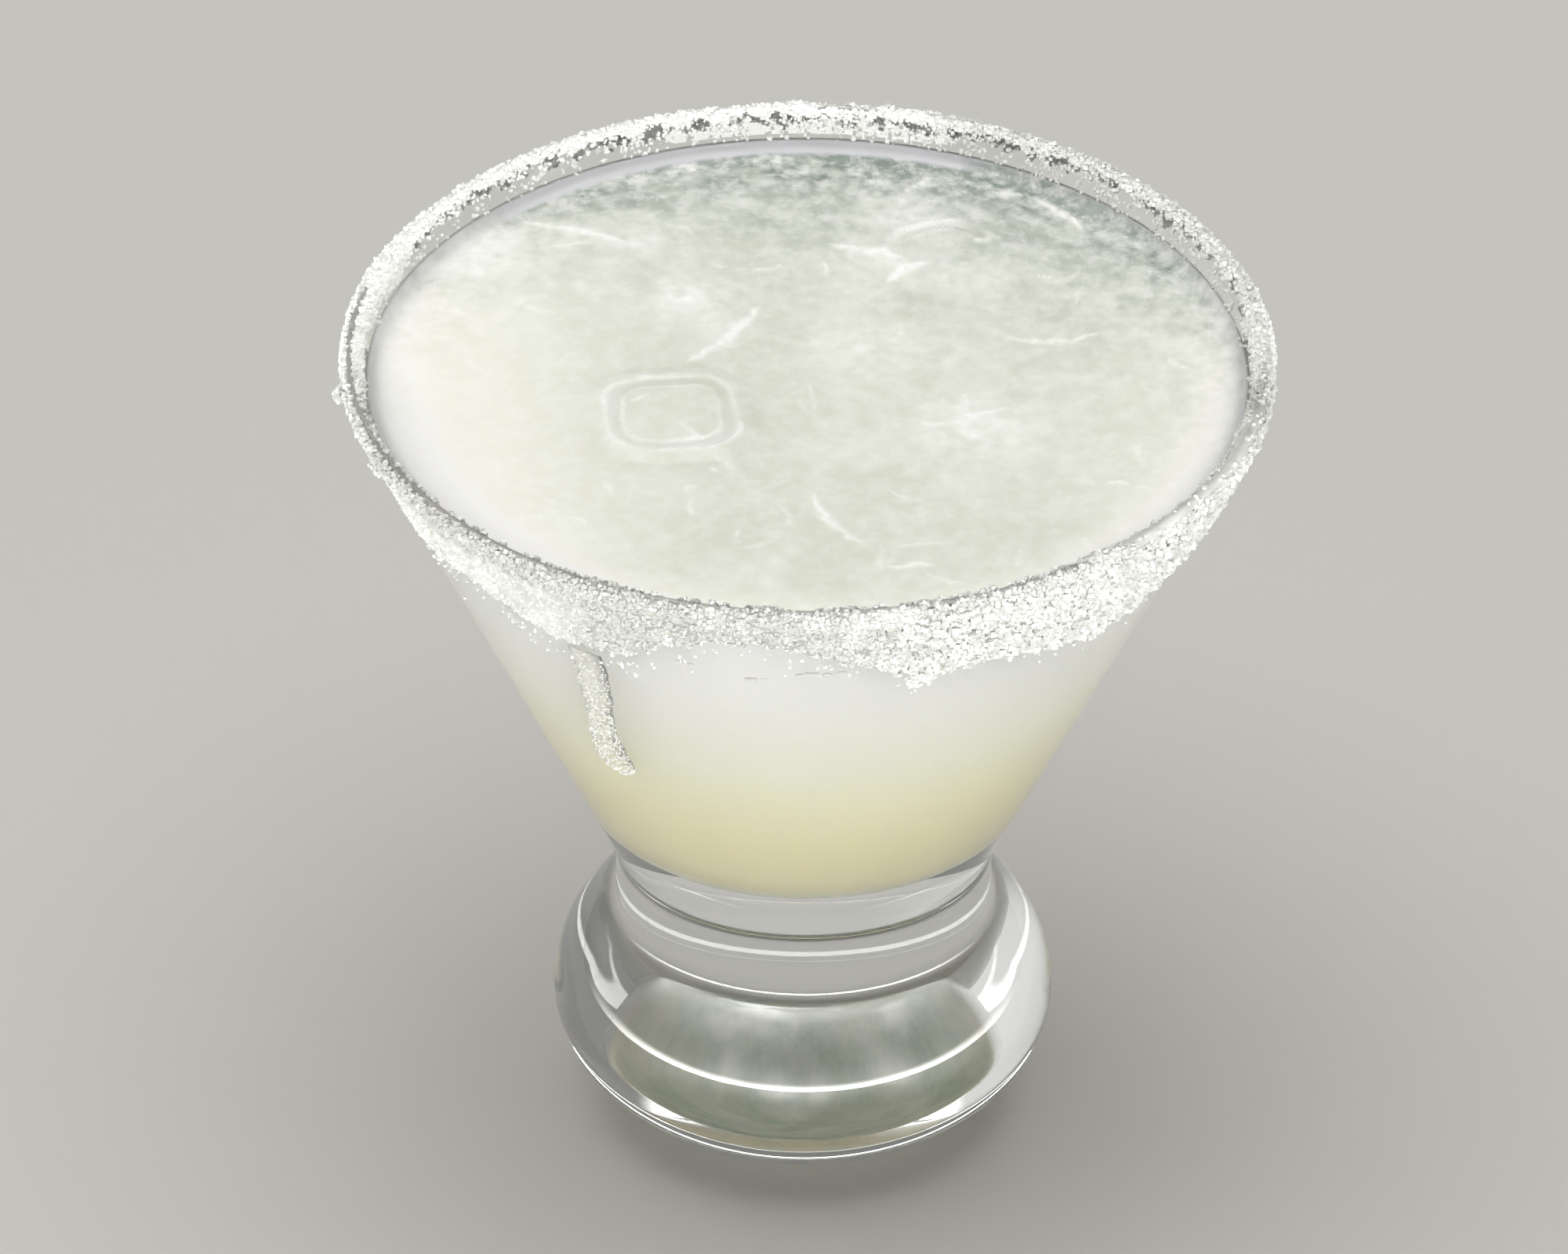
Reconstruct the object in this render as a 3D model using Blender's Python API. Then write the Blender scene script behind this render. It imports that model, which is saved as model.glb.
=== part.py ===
"""A cloudy lemonade in a footed cocktail glass with a sugared rim.

Millimetres in the named values, metres in Blender, +Z up. The origin is the centre of the foot, on the table.
The glass is one turned solid: a round heavy foot, a short neck and a wide cone, with the drink's cavity inside.
The lemonade fills the cavity up to its level and is cut round two ice cubes that float in it.
The sugar is one bumpy crust fused to the lip: it runs far down the outside of the front and is narrow at the back.
"""

import math
import random

import bmesh
import bpy
from mathutils import Matrix, Vector

MM = 0.001

# Driving sizes of the glass.
GLASS_HEIGHT = 104.3
RIM_RADIUS = 54.3
LIP_WALL = 1.5  # thickness at the lip, which is rounded over
NECK_TOP_RADIUS = 22.3
NECK_TOP_HEIGHT = 36.4
NECK_TOP_ROUNDING = 7.0
CREASE_RADIUS = 22.4  # where the neck meets the foot
CREASE_FILLET = 4.0
FOOT_RADIUS = 29.7
FOOT_WIDEST_HEIGHT = 15.4
FOOT_RISE = 19.4  # half height of the foot's ellipse above its widest circle
FOOT_DROP = 17.4  # and below it
FOOT_EDGE_HEIGHT = 3.53  # where the ellipse gives way to a straight slope down to the flat underside
FOOT_FLAT_RADIUS = 16.1
CAVITY_FLOOR = 43.8
CAVITY_FLOOR_RADIUS = 21.8  # where the cavity's straight wall would meet its floor
CAVITY_ROUNDING = 9.0

# The drink.
DRINK_LEVEL = GLASS_HEIGHT - 4.0
GAP = 0.3  # clearance between pieces that touch
MENISCUS_RISE = 0.9
MENISCUS_WIDTH = 1.8

# The ice: where each cube's middle stands in plan, how far its top stands above the drink, and how it is turned.
ICE = {
    "ice_cube_large": {"at": (-15.8, -7.2), "proud": 0.7, "size": 18.0, "round": 3.0, "turn": 5.0, "tilt": 0.0},
    "ice_cube_small": {"at": (16.4, 28.0), "proud": 0.35, "size": 15.5, "round": 3.6, "turn": 28.6, "tilt": 2.0},
}
ICE_ROUND_STEPS = 3

# The sugar crust. Lengths along the glass's profile are counted from the top of the lip, down either side.
CRUST_STEPS = 190
CRUST_ROWS = 11
CRUST_ROOT = 0.4  # how deep it is sunk in the glass, for the union
CRUST_EDGE = 0.2  # how far it stands out at its edges
CRUST_THIN = 0.35  # its thickness between the bumps
CRUST_ON_LIP = 0.45  # how much thicker it is on the lip itself
CRUST_BUMP = 0.6
CRUST_SEED = 7

TURN_STEPS = 64

LIP_RADIUS = LIP_WALL / 2
LIP_CENTRE = (RIM_RADIUS - LIP_RADIUS, GLASS_HEIGHT - LIP_RADIUS)


def lean_of(radius, height, side):
    """How far a straight face leans out from the vertical that starts at a point and just touches the round lip."""
    across = LIP_CENTRE[0] - radius
    up = LIP_CENTRE[1] - height
    return math.atan2(across, up) + side * math.asin(LIP_RADIUS / math.hypot(across, up))


OUTER_LEAN = lean_of(NECK_TOP_RADIUS, NECK_TOP_HEIGHT, 1)
INNER_LEAN = lean_of(CAVITY_FLOOR_RADIUS, CAVITY_FLOOR, -1)


def arc(centre, radius, start, end, steps):
    """Points on a circle in the (radius, height) plane, from one angle to the other, in degrees."""
    points = []
    for i in range(steps + 1):
        angle = math.radians(start + (end - start) * i / steps)
        points.append((centre[0] + radius * math.cos(angle), centre[1] + radius * math.sin(angle)))
    return points


def fillet(before, corner, after, radius, steps):
    """The arc that rounds a corner between two straight runs."""
    corner = Vector(corner)
    back = (Vector(before) - corner).normalized()
    on = (Vector(after) - corner).normalized()
    half = back.angle(on) / 2
    reach = radius / math.tan(half)
    centre = corner + (back + on).normalized() * (radius / math.sin(half))
    first = corner + back * reach - centre
    last = corner + on * reach - centre
    points = []
    for i in range(steps + 1):
        share = i / steps
        spoke = first.slerp(last, share).normalized() * radius
        points.append(tuple(centre + spoke))
    return points


def cavity_radius(height):
    """Radius of the cavity's straight wall at a height."""
    return CAVITY_FLOOR_RADIUS + math.tan(INNER_LEAN) * (height - CAVITY_FLOOR)


def foot_profile():
    """The foot from the middle of its flat underside up to the crease under the neck."""
    points = [(0.0, 0.0), (FOOT_FLAT_RADIUS, 0.0)]
    lowest = -math.asin((FOOT_WIDEST_HEIGHT - FOOT_EDGE_HEIGHT) / FOOT_DROP)
    highest = math.acos((CREASE_RADIUS + 0.4 * CREASE_FILLET) / FOOT_RADIUS)
    for i in range(7):
        angle = lowest * (1 - i / 6)
        points.append((FOOT_RADIUS * math.cos(angle), FOOT_WIDEST_HEIGHT + FOOT_DROP * math.sin(angle)))
    for i in range(1, 6):
        angle = highest * i / 6
        points.append((FOOT_RADIUS * math.cos(angle), FOOT_WIDEST_HEIGHT + FOOT_RISE * math.sin(angle)))
    return points


def crease_height(radius):
    """Height of the foot's upper ellipse at a radius."""
    return FOOT_WIDEST_HEIGHT + FOOT_RISE * math.sqrt(1 - (radius / FOOT_RADIUS) ** 2)


def neck_profile():
    """The hollow fillet at the crease, the neck, and the soft edge under the cone."""
    past_fillet = CREASE_RADIUS + 0.4 * CREASE_FILLET
    foot_side = (past_fillet, crease_height(past_fillet))
    crease = (CREASE_RADIUS, crease_height(CREASE_RADIUS))
    neck_top = (NECK_TOP_RADIUS, NECK_TOP_HEIGHT)
    on_cone = (NECK_TOP_RADIUS + math.sin(OUTER_LEAN), NECK_TOP_HEIGHT + math.cos(OUTER_LEAN))
    points = fillet(foot_side, crease, neck_top, CREASE_FILLET, 3)
    return points + fillet(crease, neck_top, on_cone, NECK_TOP_ROUNDING, 3)


def lip_profile():
    """The rounded lip, from the outer wall over the top to the inner wall."""
    return arc(LIP_CENTRE, LIP_RADIUS, -math.degrees(OUTER_LEAN), 180 - math.degrees(INNER_LEAN), 6)


def cavity_profile(shrink=0.0):
    """The cavity from its straight wall near the lip down to the middle of its floor, or a shape inside it."""
    sideways = shrink / math.cos(INNER_LEAN)
    floor = CAVITY_FLOOR + shrink
    corner = (cavity_radius(floor) - sideways, floor)
    top = (cavity_radius(GLASS_HEIGHT) - sideways, GLASS_HEIGHT)
    rounding = fillet(top, corner, (0.0, floor), CAVITY_ROUNDING - shrink, 6)
    return rounding + [(rounding[-1][0] * 0.5, floor), (0.0, floor)]


def turned(name, profile):
    """A closed solid turned about Z from a profile that starts and ends on the axis."""
    shape = bmesh.new()
    last = None
    for radius, height in profile:
        vertex = shape.verts.new((radius * MM, 0.0, height * MM))
        if last:
            shape.edges.new((last, vertex))
        last = vertex
    bmesh.ops.spin(
        shape,
        geom=list(shape.verts) + list(shape.edges),
        axis=(0, 0, 1),
        cent=(0, 0, 0),
        angle=math.tau,
        steps=TURN_STEPS,
        use_merge=True,
    )
    return finished(name, shape)


def finished(name, shape):
    """Makes the object of a bmesh: welded, facing out and shaded smooth."""
    bmesh.ops.remove_doubles(shape, verts=shape.verts, dist=0.00001)
    bmesh.ops.recalc_face_normals(shape, faces=shape.faces)
    mesh = bpy.data.meshes.new(name)
    shape.to_mesh(mesh)
    shape.free()
    mesh.shade_smooth()
    mesh.set_sharp_from_angle(angle=math.radians(40))
    made = bpy.data.objects.new(name, mesh)
    bpy.context.scene.collection.objects.link(made)
    return made


def material(name, colour, roughness, transmission=0.0, ior=1.5):
    made = bpy.data.materials.new(name)
    made.use_nodes = True
    shader = made.node_tree.nodes["Principled BSDF"]
    shader.inputs["Base Color"].default_value = (*colour, 1.0)
    shader.inputs["Roughness"].default_value = roughness
    shader.inputs["Metallic"].default_value = 0.0
    shader.inputs["Transmission Weight"].default_value = transmission
    shader.inputs["IOR"].default_value = ior
    return made


def make_glass():
    lip = lip_profile()
    glass = turned("glass", foot_profile() + neck_profile() + lip + cavity_profile())
    glass.data.materials.append(material("clear glass", (0.93, 0.96, 0.95), 0.02, 1.0, 1.52))
    return glass


def make_lemonade():
    """The drink: the cavity's shape less the gap, with a meniscus that climbs the wall."""
    body = cavity_profile(shrink=GAP)
    wall = cavity_radius(DRINK_LEVEL) - GAP
    top = DRINK_LEVEL + MENISCUS_RISE
    edge = (cavity_radius(top) - GAP * 1.15, top)
    surface = [(wall * 0.5, DRINK_LEVEL), (wall - MENISCUS_WIDTH, DRINK_LEVEL)]
    surface += [(wall - MENISCUS_WIDTH * 0.45, DRINK_LEVEL + MENISCUS_RISE * 0.25), edge]
    lemonade = turned("lemonade", [(0.0, DRINK_LEVEL)] + surface + body)
    lemonade.data.materials.append(material("cloudy lemonade", (0.86, 0.87, 0.74), 0.12, 0.0, 1.34))
    return lemonade


def ice_cube(name, grow=0.0):
    """One melted ice cube with round edges, or a bigger one that cuts its room in the drink."""
    facts = ICE[name]
    size = facts["size"] + 2 * grow
    shape = bmesh.new()
    bmesh.ops.create_cube(shape, size=size * MM)
    bmesh.ops.bevel(
        shape,
        geom=list(shape.edges),
        offset=(facts["round"] + grow) * MM,
        offset_type="OFFSET",
        segments=ICE_ROUND_STEPS,
        profile=0.5,
        affect="EDGES",
        clamp_overlap=True,
    )
    centre_height = DRINK_LEVEL + facts["proud"] - facts["size"] / 2
    place = Matrix.Translation(Vector((*facts["at"], centre_height)) * MM)
    turn = Matrix.Rotation(math.radians(facts["turn"]), 4, "Z")
    tilt = Matrix.Rotation(math.radians(facts["tilt"]), 4, "X")
    shape.transform(place @ turn @ tilt)
    return finished(name if grow == 0 else name + "_room", shape)


def cut_room(lemonade, name):
    """Cuts the cube's room out of the drink, with the gap all round."""
    cutter = ice_cube(name, grow=GAP)
    cut = lemonade.modifiers.new("room for " + name, "BOOLEAN")
    cut.operation = "DIFFERENCE"
    cut.solver = "EXACT"
    cut.object = cutter
    cutter.hide_render = True
    cutter.display_type = "WIRE"


def make_ice():
    look = material("ice", (0.9, 0.93, 0.9), 0.08, 0.6, 1.31)
    for name in ICE:
        cube = ice_cube(name)
        cube.data.materials.append(look)


def lip_point(along):
    """Point and outward normal on the glass's profile, at a length from the top of the lip: outside is negative."""
    if along < 0:
        round_length = LIP_RADIUS * (math.pi / 2 + OUTER_LEAN)
        angle = math.pi / 2 - min(-along, round_length) / LIP_RADIUS
        down = Vector((-math.sin(OUTER_LEAN), -math.cos(OUTER_LEAN)))
    else:
        round_length = LIP_RADIUS * (math.pi / 2 - INNER_LEAN)
        angle = math.pi / 2 + min(along, round_length) / LIP_RADIUS
        down = Vector((-math.sin(INNER_LEAN), -math.cos(INNER_LEAN)))
    normal = Vector((math.cos(angle), math.sin(angle)))
    return Vector(LIP_CENTRE) + normal * LIP_RADIUS + down * max(0.0, abs(along) - round_length), normal


def bump_of(angle, centre, width):
    """A smooth bump of height 1 round an angle, all in degrees."""
    away = (angle - centre + 180) % 360 - 180
    return math.exp(-((away / width) ** 2))


def crust_reach(angle):
    """How far the crust runs down the outside and over the inside at an angle; 270 degrees is the front."""
    from_front = abs((angle - 90) % 360 - 180)
    front = 1 / (1 + math.exp((from_front - 92) / 5))
    outer = 2.4 + front * (14.0 - 7.5 * bump_of(angle, 266, 17) + 1.6 * math.sin(math.radians(angle * 9 + 120)))
    outer += 0.5 * math.sin(math.radians(angle * 14)) + 0.5 * math.sin(math.radians(angle * 31 + 40))
    bare = max(bump_of(angle, 208, 24), bump_of(angle, 326, 14))
    inner = 1.5 + 0.4 * math.sin(math.radians(angle * 7 + 70)) + 0.3 * math.sin(math.radians(angle * 19))
    return outer, inner - 2.6 * bare


def crust_ring(angle, draw):
    """One slice of the crust: its bumpy outer face from the outside edge to the inside one, and its root in the glass."""
    outer, inner = crust_reach(angle)

    def along(share):
        """Rows lie closer together towards the lip, which is round."""
        return inner * share - outer * (1 - share) ** 1.5

    thick = CRUST_THIN + 0.25 * bump_of(angle, 305, 40)
    spots = [(-outer, CRUST_EDGE)]
    for row in range(1, CRUST_ROWS - 1):
        share = (row + draw.uniform(-0.3, 0.3)) / (CRUST_ROWS - 1)
        on_lip = CRUST_ON_LIP * math.exp(-((along(share) / 1.6) ** 2))
        spots.append((along(share), thick + on_lip + CRUST_BUMP * draw.random() ** 2))
    spots.append((inner, CRUST_EDGE))
    spots += [(along(share), -CRUST_ROOT) for share in (1.0, 0.8, 0.6, 0.0)]
    turn = Matrix.Rotation(math.radians(angle), 4, "Z")
    ring = []
    for length, away in spots:
        point, normal = lip_point(length)
        flat = (point + normal * away) * MM
        ring.append(turn @ Vector((flat.x, 0.0, flat.y)))
    return ring


def fuse_sugar(glass):
    """Joins the crust, a closed ring round the lip, to the glass."""
    draw = random.Random(CRUST_SEED)
    shape = bmesh.new()
    rings = []
    for step in range(CRUST_STEPS):
        ring = crust_ring(360 * step / CRUST_STEPS, draw)
        rings.append([shape.verts.new(place) for place in ring])
    for step, here in enumerate(rings):
        there = rings[(step + 1) % CRUST_STEPS]
        for row in range(len(here)):
            after = (row + 1) % len(here)
            shape.faces.new((here[row], there[row], there[after], here[after]))
    bmesh.ops.triangulate(shape, faces=shape.faces)
    crust = finished("sugar crust", shape)
    crust.data.materials.append(material("sugar", (0.93, 0.94, 0.94), 0.45))

    crumbs = bpy.data.collections.new("sugar")
    bpy.context.scene.collection.children.link(crumbs)
    bpy.context.scene.collection.objects.unlink(crust)
    crumbs.objects.link(crust)
    union = glass.modifiers.new("sugar", "BOOLEAN")
    union.operation = "UNION"
    union.solver = "EXACT"
    union.operand_type = "COLLECTION"
    union.collection = crumbs
    union.material_mode = "TRANSFER"
    with bpy.context.temp_override(object=glass, active_object=glass):
        bpy.ops.object.modifier_apply(modifier=union.name)
    bpy.data.objects.remove(crust, do_unlink=True)
    bpy.data.collections.remove(crumbs)


def main():
    for old in list(bpy.data.objects):
        bpy.data.objects.remove(old, do_unlink=True)
    glass = make_glass()
    fuse_sugar(glass)
    lemonade = make_lemonade()
    make_ice()
    for name in ICE:
        cut_room(lemonade, name)


main()
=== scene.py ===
"""The look of a cloudy lemonade in a footed cocktail glass with a sugared rim.

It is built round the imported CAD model. The named values are in millimetres and Blender is in metres.
The glass stands on the origin, and -Y is its front.
"""

import math
import random

import bmesh
import bpy
from mathutils import Matrix, Vector, noise


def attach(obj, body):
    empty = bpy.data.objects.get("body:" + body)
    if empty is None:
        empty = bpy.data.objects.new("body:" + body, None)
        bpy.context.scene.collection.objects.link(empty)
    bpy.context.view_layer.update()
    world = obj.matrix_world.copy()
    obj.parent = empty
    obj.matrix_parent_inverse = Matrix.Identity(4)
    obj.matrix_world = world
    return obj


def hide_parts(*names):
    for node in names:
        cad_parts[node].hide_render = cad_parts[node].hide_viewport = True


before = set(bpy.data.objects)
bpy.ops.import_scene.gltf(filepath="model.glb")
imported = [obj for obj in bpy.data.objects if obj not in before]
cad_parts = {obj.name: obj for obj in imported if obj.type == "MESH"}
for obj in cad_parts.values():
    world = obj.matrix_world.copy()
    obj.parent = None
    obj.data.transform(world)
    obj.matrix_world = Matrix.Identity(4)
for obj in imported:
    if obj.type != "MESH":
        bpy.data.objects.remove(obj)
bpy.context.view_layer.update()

MM = 0.001

# The glass, as in the CAD.
GLASS_HEIGHT = 104.3
RIM_RADIUS = 54.3
LIP_WALL = 1.5
NECK_TOP_RADIUS = 22.3
NECK_TOP_HEIGHT = 36.4
NECK_TOP_ROUNDING = 7.0
CREASE_RADIUS = 22.4
CREASE_FILLET = 4.0
FOOT_RADIUS = 29.7
FOOT_WIDEST_HEIGHT = 15.4
FOOT_RISE = 19.4
FOOT_DROP = 17.4
FOOT_EDGE_HEIGHT = 3.53
FOOT_FLAT_RADIUS = 16.1
CAVITY_FLOOR = 43.8
CAVITY_FLOOR_RADIUS = 21.8
CAVITY_ROUNDING = 9.0
LIP_RADIUS = LIP_WALL / 2
LIP_CENTRE = (RIM_RADIUS - LIP_RADIUS, GLASS_HEIGHT - LIP_RADIUS)
LIP_FILM = 0.5  # how far a film of sugar clouds the round of the lip
LIP_FILM_DEPTH = 0.25  # over this much of its height
FOOT_EASE = 0.4  # the flat underside eases up over this width, inside and outside its edge
FOOT_EASE_RISE = 0.25
FOOT_SLOPE = (3.0, 1.9)  # width and rise of the slope round it
FROSTED_BELOW = 0.05  # the flat underside is frosted
TURN_STEPS = 256
WELD_WITHIN = 0.002

# The drink and its ice, as in the CAD.
DRINK_LEVEL = GLASS_HEIGHT - 4.0
MENISCUS_RISE = 0.9
MENISCUS_WIDTH = 1.8
MENISCUS_PAINTED_SHEEN = (72, 132, 8)  # painted reflection of a light on its slope, at the far side: start, end and fade, in degrees
SURFACE_RINGS = 120
MENISCUS_RINGS = 8
WALL_RINGS = 14
DRINK_STEPS = 480
PULP_RELIEF = 0.12  # pulp lifts the surface by up to this much
CLEAR_SHADED_SIDE = (78, 60)  # middle and width of its clear far side, where it is painted grey, in degrees
INTO_WALL = 0.12  # the drink reaches this far into the glass, so that no air shows between them
# line: strength of the painted highlights round a piece; least and brightest: how clearly it shows round
# its sides, which also sets those highlights.
ICE = {
    "ice_cube_large": {
        "at": (-15.8, -7.2),
        "proud": 0.7,
        "size": 18.0,
        "turn": 5.0,
        "line": 0.85,
        "least": 0.4,
        "brightest": ((170, 32), (305, 38)),
    },
    "ice_cube_small": {
        "at": (16.4, 28.0),
        "proud": 0.35,
        "size": 15.5,
        "turn": 28.6,
        "line": 0.9,
        "least": 0.0,
        "brightest": ((95, 55),),
    },
}
ICE_CORNER = 4.6  # rounding of a piece of ice seen from above
ICE_EDGE = 2.2  # rounding of its upper edge
ICE_SHOWN_IN = 1.6  # the drink covers this much of that edge
ICE_FILM = 0.06  # the drink lies this deep over the top of the ice
ICE_BARE_EDGE = 1.7  # but leaves it bare over this width, just inside its outline
ICE_DIP = 0.26  # and lies this much lower there
ICE_SLOPE = 3.2  # the drink slopes away from the ice over this width

# Wisps of pulp that lie in the surface: start, end, how far it bows, half its width, strength.
WISPS = (
    ((-33.2, 34.2), (-21.7, 29.8), 0.6, 0.6, 0.9),
    ((-14.0, 4.6), (-5.6, 16.8), -1.0, 0.7, 1.0),
    ((23.4, 10.2), (34.1, 11.0), -1.3, 0.5, 1.0),
    ((0.8, -23.4), (6.8, -33.6), -1.2, 0.65, 1.0),
    ((9.4, 22.0), (14.2, 25.4), 0.6, 0.8, 0.9),
    ((2.5, 29.8), (11.4, 26.2), 0.7, 0.6, 0.8),
    ((27.0, 39.6), (32.4, 33.4), 0.5, 0.7, 0.9),
    ((34.6, -20.6), (37.4, -20.8), 0.1, 0.45, 1.0),
    ((9.4, -38.4), (14.6, -37.9), 0.3, 0.4, 0.9),
)
STRAY_WISPS = 80
WISP_SEED = 23

# Soft pale clouds in it: middle, radius and strength.
CLOUDS = (
    ((-14.2, 18.2), 3.8, 1.0),
    ((-9.0, 12.6), 3.0, 0.6),
    ((-20.0, 29.8), 4.0, 0.5),
    ((5.8, 27.7), 4.4, 0.6),
    ((12.4, 36.3), 4.6, 0.7),
    ((18.6, 22.0), 4.0, 0.5),
    ((7.6, 9.0), 6.0, 0.55),
    ((19.0, -9.0), 7.5, 0.75),
    ((-38.0, 27.0), 6.0, 0.8),
)

# The sugar. Lengths along the glass's profile are counted from the top of the lip: outside is negative.
SKIN_STEPS = 960
SKIN_SPACING = 0.36
SKIN_OUTSIDE = 19.8
SKIN_INSIDE = 3.96
SKIN_ROOT = 0.1  # the caked sugar starts this far inside the glass
SKIN_LEAST = 0.03  # where there is any, it is at least this deep
FILM_ROOT = 0.016  # the streak and the drops start this far inside the glass
ARC_PER_DEGREE = math.radians(RIM_RADIUS)  # length along the rim
CRYSTAL_SIZE = 0.42
BAND_CRYSTALS = 16000
BAND_SPAN = (172, 368)  # degrees
BAND_TOP = -1.6
BAND_HEIGHT = 18.0
LIP_CRYSTALS = 12500
LIP_OUTSIDE = 3.2  # they reach this far down the outside
STRAY_CRYSTALS = 1500
STRAYS_ROUND = (80, 62)  # middle and spread of them, in degrees
STRAYS_BELOW_BAND = STRAY_CRYSTALS // 8
STRAYS_BELOW_SPAN = (196, 344)
CRYSTALS_DAMP_SHADED = 0.75  # share of the damp and painted shade of the caked sugar under them
SUGAR_DRY = (0.9, 0.905, 0.89)
# Damp and painted shade: these darker colours also darken the sugar that faces the low front light.
CAKED_SUGAR_DAMP_SHADED = (0.3, 0.31, 0.285)
CRYSTAL_DAMP_SHADED = (0.33, 0.34, 0.32)
# Seeds: for where the crystals lie, and for their shapes.
BAND_SEEDS = (3, 31)
LIP_SEEDS = (5, 37)
LOOSE_SEEDS = (11, 41)
# Stretches of the rim: start, end and fade in degrees, counted from the right; 270 is the front.
THICK_RIGHT = (286, 350, 8)
THICK_BACK = (10, 160, 12)
COARSE_RIGHT = (284, 352, 10)
SPARSE_LEFT = (198, 238, 8)
SMEARED = (196, 236, 8)
GLAZED = (316, 348, 5)
BARE_LEFT = (168, 232, 5)
BARE_FRONT = (238, 306, 5)
BARE_BACK = (82, 88, 1.5)
DAMP_AND_SHADED_FRONT = (192, 350, 12)
DAMP_BACK = (20, 68, 10)
DAMP_RIGHT = (352, 372, 8)
DEEP_INSIDE_LEFT = (158, 186, 8)
DEEP_INSIDE_RIGHT = (346, 368, 8)
INSIDE_FRONT_RIGHT = (300, 345, 8)
# Middle and width of the dampest places, in degrees.
DAMPEST_MIDDLE = (256, 24)
DAMPEST_LEFT = (224, 22)
# How far the sugar runs down the outside: everywhere, further in front, and less at a notch in the band.
LEAST_REACH = 2.6
FRONT_REACH = 13.4
NOTCH = (266, 17)  # middle and width, in degrees
NOTCH_HEIGHT = 7.0
FRONT_HALF = (92, 5)  # the front ends this far from its middle, and eases off over this, in degrees
WAVES = (1.6, 9, 120)  # height, number round the rim and phase in degrees
# Clumps: angle, length along the profile, spread, height, crystals.
CLUMPS = (
    (187.5, -1.6, 0.5, 1.5, 60),
    (287.0, -15.2, 0.7, 0.5, 80),
    (285.2, -16.4, 0.6, 0.4, 40),
    (199.0, -5.6, 0.8, 0.9, 40),
    (345.0, -5.4, 0.6, 0.8, 34),
    (339.0, -12.6, 0.8, 0.7, 40),
    (80.0, -0.8, 0.4, 0.8, 24),
)
# The streak that a drop left on the outside: angle and length along the profile at either end.
DRIP_START = (237.6, -16.5)
DRIP_END = (232.8, -44.5)
DRIP_HALF_WIDTH = 2.7
DRIP_ARC_PER_DEGREE = 0.75 * ARC_PER_DEGREE  # the glass is narrower there
DRIP_STEPS = 90
DRIP_ACROSS = 12
DRIP_DEPTH = (0.025, 0.045)  # where it starts, and how much more it is where it ends
DRIP_SUNK = 0.01  # its edges start this far inside the glass
DRIP_GRAINS = 900
# Small clear drops under the band: angle, length along the profile, half width and half height.
DROP_ARC_PER_DEGREE = 0.85 * ARC_PER_DEGREE
DROPS = (
    (252.8, -13.0, 0.6, 0.3),
    (254.4, -13.2, 0.45, 0.25),
    (262.6, -14.9, 0.8, 0.4),
    (264.4, -14.7, 0.5, 0.3),
    (269.2, -13.4, 0.5, 0.25),
    (270.8, -13.1, 0.8, 0.35),
    (272.9, -13.3, 0.6, 0.3),
    (274.8, -12.9, 0.7, 0.3),
)
DROP_STEPS = 20
# Share of its width and height over the glass, from the foot of a drop up.
DROP_PROFILE = ((1.0, -FILM_ROOT), (1.0, 0.0), (0.9, 0.1), (0.7, 0.18), (0.4, 0.24))

# Light from the surroundings: dim all round, a wide soft patch straight overhead, another high
# at the left, and a strip of light low in front.
DIM_STRENGTH = 0.2
OVERHEAD_STRENGTH = 2.9
OVERHEAD_FROM = 0.8  # as Z of the direction that the light comes from
OVERHEAD_TO = 0.9
STRIP_STRENGTH = 31.5
STRIP_FULL_AT = -0.7  # as Y of the direction that the light comes from
STRIP_GONE_AT = 0.5
STRIP_TOP = 0.12  # as its Z
PATCH_TOWARDS = (-0.85, 0.1, 0.5)
PATCH_STRENGTH = 0.55
PATCH_SPREAD = 45.0

# The floor and the view.
FLOOR_SIZE = 3000.0
FLOOR_LEVEL = -0.2  # just under the glass, so that the two flat faces don't coincide
CAMERA_ELEVATION = 34.12
CAMERA_DISTANCE = 2250.0
CAMERA_ROLL = 0.4
PIXELS_PER_MM = 10.923
IMAGE_WIDTH = 2000
IMAGE_HEIGHT = 1600
RIM_IN_IMAGE = (1030.1, 452.85)
SENSOR_WIDTH = 36.0


def lean_of(radius, height, side):
    """How far a straight face leans out from the vertical, from a point up to where it touches the lip."""
    across = LIP_CENTRE[0] - radius
    up = LIP_CENTRE[1] - height
    return math.atan2(across, up) + side * math.asin(LIP_RADIUS / math.hypot(across, up))


OUTER_LEAN = lean_of(NECK_TOP_RADIUS, NECK_TOP_HEIGHT, 1)
INNER_LEAN = lean_of(CAVITY_FLOOR_RADIUS, CAVITY_FLOOR, -1)


def fillet(before, corner, after, radius, steps):
    """The arc that rounds a corner between two straight runs."""
    corner = Vector(corner)
    back = (Vector(before) - corner).normalized()
    on = (Vector(after) - corner).normalized()
    half = back.angle(on) / 2
    reach = radius / math.tan(half)
    centre = corner + (back + on).normalized() * (radius / math.sin(half))
    first = corner + back * reach - centre
    last = corner + on * reach - centre
    points = []
    for i in range(steps + 1):
        spoke = first.slerp(last, i / steps).normalized() * radius
        points.append(tuple(centre + spoke))
    return points


def arc(centre, radius, start, end, steps):
    """Points on a circle in the (radius, height) plane, from one angle to the other, in degrees."""
    points = []
    for i in range(steps + 1):
        angle = math.radians(start + (end - start) * i / steps)
        points.append((centre[0] + radius * math.cos(angle), centre[1] + radius * math.sin(angle)))
    return points


def cavity_radius(height):
    """Radius of the cavity's straight wall at a height."""
    return CAVITY_FLOOR_RADIUS + math.tan(INNER_LEAN) * (height - CAVITY_FLOOR)


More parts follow.
